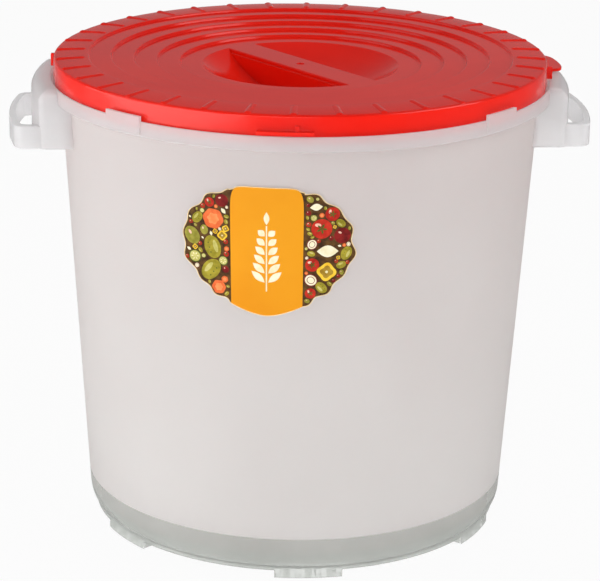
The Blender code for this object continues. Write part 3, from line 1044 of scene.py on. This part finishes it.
def let_light_through(finish, colour, share):
    """Mix in a part that passes diffuse light, for plastic that glows when lit from behind."""
    nodes, links = finish.node_tree.nodes, finish.node_tree.links
    shader, output = nodes["Principled BSDF"], nodes["Material Output"]
    glow = nodes.new("ShaderNodeBsdfTranslucent")
    glow.inputs["Color"].default_value = (*colour, 1.0)
    mix = nodes.new("ShaderNodeMixShader")
    mix.inputs["Fac"].default_value = share
    links.new(shader.outputs["BSDF"], mix.inputs[1])
    links.new(glow.outputs["BSDF"], mix.inputs[2])
    links.new(mix.outputs["Shader"], output.inputs["Surface"])
    return finish


# %% [markdown]
# ## Four finishes on one tub
# The wall is frosted: light passes but no shape shows through. Collar, handles and catches are thin and
# a little clearer, with bright edges. The base below the frosted edge is polished and looks greyer,
# partly because one sees the dimmer inside of the tub through it, and partly because its colour is
# painted grey as painted shade. The ring with its feet is nearly clear, so the short walls inside each
# foot show through. Four objects would be easy to dress, but it is one moulding, so the finishes are
# given to its faces by place.

# %% Finish the tub
def clearness(share):
    """Settings of a clear plastic that lets a share of the light straight through."""
    return (("Transmission Weight", share), ("IOR", 1.49))


frosted = let_light_through(
    plastic("frosted_wall", ((0.78, 0.765, 0.755), (0.81, 0.80, 0.79)), (0.34, 0.44),
            0.09, 0.0012, 0.00004), (0.95, 0.94, 0.93), 0.55)
clearer = let_light_through(
    plastic("handle_plastic", ((0.91, 0.905, 0.91), (0.95, 0.945, 0.95)), (0.14, 0.22),
            0.05, 0.0009, 0.00002, clearness(0.55)), (0.98, 0.97, 0.975), 0.30)
# The grey colour of the polished base is painted shade: it is darkened to stand for the dim inside of
# the tub seen through it.
polished = plastic("polished_base_painted_shade", ((0.59, 0.61, 0.58), (0.65, 0.67, 0.64)), (0.16, 0.24),
                   0.06, 0.0040, 0.00003, clearness(0.60))
clear_foot = plastic("clear_foot", ((0.97, 0.98, 0.97), (0.99, 0.99, 0.99)), (0.04, 0.08),
                     0.05, 0.0040, 0.00002, clearness(0.92))
tub_finishes = [frosted, clearer, polished, clear_foot]
collar_margin = 0.0030


def finish_at(place):
    """The finish of the tub at a place on its skin."""
    if place.z < base_height - edge_round:
        return clear_foot
    if place.z < frost_height:
        return polished
    outside = math.hypot(place.x, place.y) > rim_radius + collar_margin
    return clearer if outside and place.z > handle_bottom - overrun else frosted


for finish in tub_finishes:
    tub.data.materials.append(finish)
for face in tub.data.polygons:
    face.material_index = tub_finishes.index(finish_at(face.center))
shade(tub)

# %% [markdown]
# ## Finish of the lid
# The lid is opaque red with a clear gloss: the risers mirror in the treads. A coat over a matt red
# would look similar, but the plastic is one stuff, so its own gloss does it. Its roughness is low, and
# the grain is a long soft ripple rather than a texture, as on a polished mould.

# %% Finish the lid
red = plastic("red_gloss", ((0.86, 0.0085, 0.0014), (0.92, 0.0125, 0.0026)), (0.11, 0.17),
              0.06, 0.0060, 0.00002, (("IOR", 1.40),))
lid.data.materials.append(red)
shade(lid)

# %% [markdown]
# ## Finish of the film and its inks
# The film is cream and shows as a thin rim; the ground between the vegetables is a dark brown, like the
# shade between them. Every ink varies between a lighter and a darker tone over a few millimetres, so
# that slices don't look cut from paper. The film has a soft gloss of its own, rougher than the lid's.

# %% Finish the label
ink_tones = {
    "peel": ((0.06, 0.08, 0.010), (0.12, 0.15, 0.02)),
    "flesh": ((0.44, 0.40, 0.09), (0.60, 0.54, 0.18)),
    "gherkin": ((0.24, 0.20, 0.012), (0.40, 0.33, 0.03)),
    "cherry": ((0.12, 0.006, 0.006), (0.26, 0.012, 0.010)),
    "ground": ((0.045, 0.020, 0.008), (0.13, 0.060, 0.014)),
    "seed": ((0.72, 0.66, 0.34), (0.80, 0.76, 0.48)),
    "tomato": ((0.36, 0.012, 0.006), (0.58, 0.030, 0.012)),
    "gleam": ((0.80, 0.42, 0.30), (0.86, 0.60, 0.46)),
    "carrot": ((0.68, 0.11, 0.025), (0.80, 0.17, 0.045)),
    "heart": ((0.82, 0.22, 0.06), (0.86, 0.30, 0.10)),
    "onion": ((0.16, 0.010, 0.020), (0.28, 0.030, 0.040)),
    "cream": ((0.80, 0.72, 0.46), (0.88, 0.82, 0.62)),
    "pepper": ((0.80, 0.46, 0.02), (0.86, 0.58, 0.05)),
    "shade": ((0.30, 0.17, 0.012), (0.42, 0.26, 0.03)),
    "olive": ((0.22, 0.20, 0.02), (0.36, 0.32, 0.05)),
    "band": ((0.74, 0.27, 0.002), (0.78, 0.31, 0.005)),
    "film": ((0.86, 0.62, 0.30), (0.90, 0.72, 0.42))}
band_patch, fruit_patch = 0.06, 0.004
inks = {}
for ink, tones in ink_tones.items():
    patch = band_patch if ink == "band" else fruit_patch
    inks[ink] = plastic("ink_" + ink, tones, (0.30, 0.40), patch, 0.0008, 0.00001, (("IOR", 1.25),))
film.data.materials.append(inks["film"])
shade(film)
print_layers = []
for (ink, level), plans in sorted(prints.items()):
    sheet = wrapped(f"print_{ink}_{level}", plans, film_top - layer, film_top + level * layer)
    sheet.data.materials.append(inks[ink])
    shade(sheet)
    print_layers.append(sheet)

# %% [markdown]
# ## Putting the pieces on the frame
# Each new mesh stands for one imported solid and rides on its body, so the lid still lifts by its slide.
# The prints ride on the tub with the film. They could be parented by hand, but the bodies come from
# model.json.

# %% Ride and replace
for piece, node, body, slot in ((tub, "tub", "tub", "tub_plastic"), (lid, "lid", "lid", "lid_plastic"),
                                (film, "label", "tub", "label_film")):
    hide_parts(node)
    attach(piece, body)
for sheet in print_layers:
    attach(sheet, "tub")

# %% [markdown]
# ## Floor and backdrop
# The floor is a wide pale disc. What the camera or clear plastic sees of it is nearly all plain white
# light, and the rest is a diffuse white that still takes the tub's soft shadow. More lamp light would
# make a plain floor white as well, but would wash out the tub. The glossy lid mirrors the diffuse part
# only, which is brighter near the lamps.

# %% Make the floor
floor_radius = 9.0
floor_thickness = 0.02
floor_steps = 96
floor_grey = 0.62
floor_roughness = 0.9
floor_white_share = 0.95


def larger(tree, first, second):
    """The larger of two values in a node tree."""
    node = tree.nodes.new("ShaderNodeMath")
    node.operation = "MAXIMUM"
    tree.links.new(first, node.inputs[0])
    tree.links.new(second, node.inputs[1])
    return node.outputs[0]


def mixed(tree, factor, first, second, target):
    """Mix two shaders by a factor and send them to a target."""
    mix = tree.nodes.new("ShaderNodeMixShader")
    for source, socket in zip((factor, first, second), mix.inputs):
        tree.links.new(source, socket)
    tree.links.new(mix.outputs["Shader"], target)


floor_plan = arc(0.0, 0.0, floor_radius, 0.0, full_turn, floor_steps)[:-1]
floor = raised("floor", [floor_plan], -floor_thickness, 0.0)
pale = bpy.data.materials.new("pale_floor")
pale.use_nodes = True
tree = pale.node_tree
shader = tree.nodes["Principled BSDF"]
shader.inputs["Base Color"].default_value = (floor_grey, floor_grey, floor_grey, 1.0)
shader.inputs["Roughness"].default_value = floor_roughness
path = tree.nodes.new("ShaderNodeLightPath").outputs
share = tree.nodes.new("ShaderNodeMath")
share.operation = "MULTIPLY"
share.inputs[1].default_value = floor_white_share
tree.links.new(larger(tree, path["Is Camera Ray"], path["Is Transmission Ray"]), share.inputs[0])
plain = tree.nodes.new("ShaderNodeEmission")
mixed(tree, share.outputs[0], shader.outputs["BSDF"], plain.outputs["Emission"],
      tree.nodes["Material Output"].inputs["Surface"])
floor.data.materials.append(pale)
print("floor:", 2.0 * floor_radius, "m across")

# %% [markdown]
# ## The room
# The room is a soft dome of plain light. Mirrors see more than that: pale at the horizon and a dimmer
# grey higher up, which gives the glossy lid its mauve sheen. A real studio does this with paper walls,
# and walls could be built here too, but a ramp over the height of the sky is easier to set.

# %% Light the room
dome_light = 0.05
sky_stops = [(0.0, 0.75), (0.04, 0.36), (0.13, 0.29), (0.17, 0.27), (0.22, 0.26)]

world = bpy.data.worlds.new("studio")
bpy.context.scene.world = world
world.use_nodes = True
tree = world.node_tree
dome = tree.nodes["Background"]
dome.inputs["Color"].default_value = (1.0, 1.0, 1.0, 1.0)
dome.inputs["Strength"].default_value = dome_light
sky = tree.nodes.new("ShaderNodeBackground")
direction = tree.nodes.new("ShaderNodeTexCoord")
parts = tree.nodes.new("ShaderNodeSeparateXYZ")
tree.links.new(direction.outputs["Generated"], parts.inputs["Vector"])
ramp = tree.nodes.new("ShaderNodeValToRGB")
while len(ramp.color_ramp.elements) < len(sky_stops):
    ramp.color_ramp.elements.new(0.5)
for stop, (position, grey) in zip(ramp.color_ramp.elements, sky_stops):
    stop.position = position
    stop.color = (grey, grey, grey, 1.0)
tree.links.new(parts.outputs["Z"], ramp.inputs["Fac"])
tree.links.new(ramp.outputs["Color"], sky.inputs["Color"])
path = tree.nodes.new("ShaderNodeLightPath").outputs
seen = larger(tree, path["Is Camera Ray"], path["Is Glossy Ray"])
seen = larger(tree, seen, path["Is Transmission Ray"])
mixed(tree, seen, dome.outputs["Background"], sky.outputs["Background"],
      tree.nodes["World Output"].inputs["Surface"])
print("sky:", sky_stops)

# %% [markdown]
# ## The lamps
# The main lamps stand at the left, a tall one and a long low one that shows in the skirt of the lid as
# a broad highlight. Others stand in front, at the right and at the back, one hangs above, and a wide
# one in the table lights the tub from below. Spots or a sun would throw hard shadows, so all are large
# soft areas. Those at the back, above and in the table give no highlight of their own.

# %% Set up the lamps
table_size = 3.0
table_light = 1.12
table_lift = 0.0005
lamp_places = [("key", 72.0, 30.0, 1.6, (1.6, 1.1), 0.9, True),
               ("low", 65.0, 2.0, 1.3, (2.4, 0.30), 3.6, True),
               ("top", 0.0, 89.0, 1.6, (2.0, 2.0), 0.60, False),
               ("front", 10.0, 11.0, 2.5, (1.6, 0.8), 3.2, True),
               ("side", -68.0, 30.0, 1.8, (1.2, 1.2), 2.8, True),
               ("back", 180.0, 45.0, 2.0, (1.2, 1.2), 1.8, False)]


def soft_lamp(name, azimuth, elevation, distance, size, radiance, mirrored):
    """A soft lamp (width, height) that looks at the middle of the tub; azimuth is left of the camera."""
    around = -quarter_turn - camera_turn - math.radians(azimuth)
    rise = math.radians(elevation)
    target = Vector((0.0, 0.0, aim_height))
    away = Vector((math.cos(rise) * math.cos(around), math.cos(rise) * math.sin(around), math.sin(rise)))
    data = bpy.data.lights.new(name, "AREA")
    data.shape = "RECTANGLE"
    data.size, data.size_y = size
    data.energy = radiance * math.pi * size[0] * size[1]
    lamp = bpy.data.objects.new(name, data)
    bpy.context.collection.objects.link(lamp)
    lamp.location = target + distance * away
    lamp.rotation_euler = (-away).to_track_quat("-Z", "Y").to_euler()
    lamp.visible_camera = False
    lamp.visible_glossy = mirrored
    return lamp


def light_table():
    """A wide lamp that lies on the floor and shines up, as a table for product photographs does."""
    lamp = soft_lamp("table", 0.0, 0.0, 1.0, (table_size, table_size), table_light, False)
    lamp.location = (0.0, 0.0, table_lift)
    lamp.rotation_euler = (math.pi, 0.0, 0.0)
    lamp.data.shape = "DISK"
    lamp.data.energy *= 0.25 * math.pi  # a disc is smaller than its square
    lamp.visible_transmission = False
    return lamp


lamps = [soft_lamp(*place) for place in lamp_places] + [light_table()]
print("lamps:", [(lamp.name, round(lamp.data.energy, 1)) for lamp in lamps])

# %% [markdown]
# ## Colour setting
# The picture is shown with the plain Standard view, so a colour shows as it is written.

# %% Set the view transform
bpy.context.scene.view_settings.view_transform = "Standard"
bpy.context.view_layer.update()
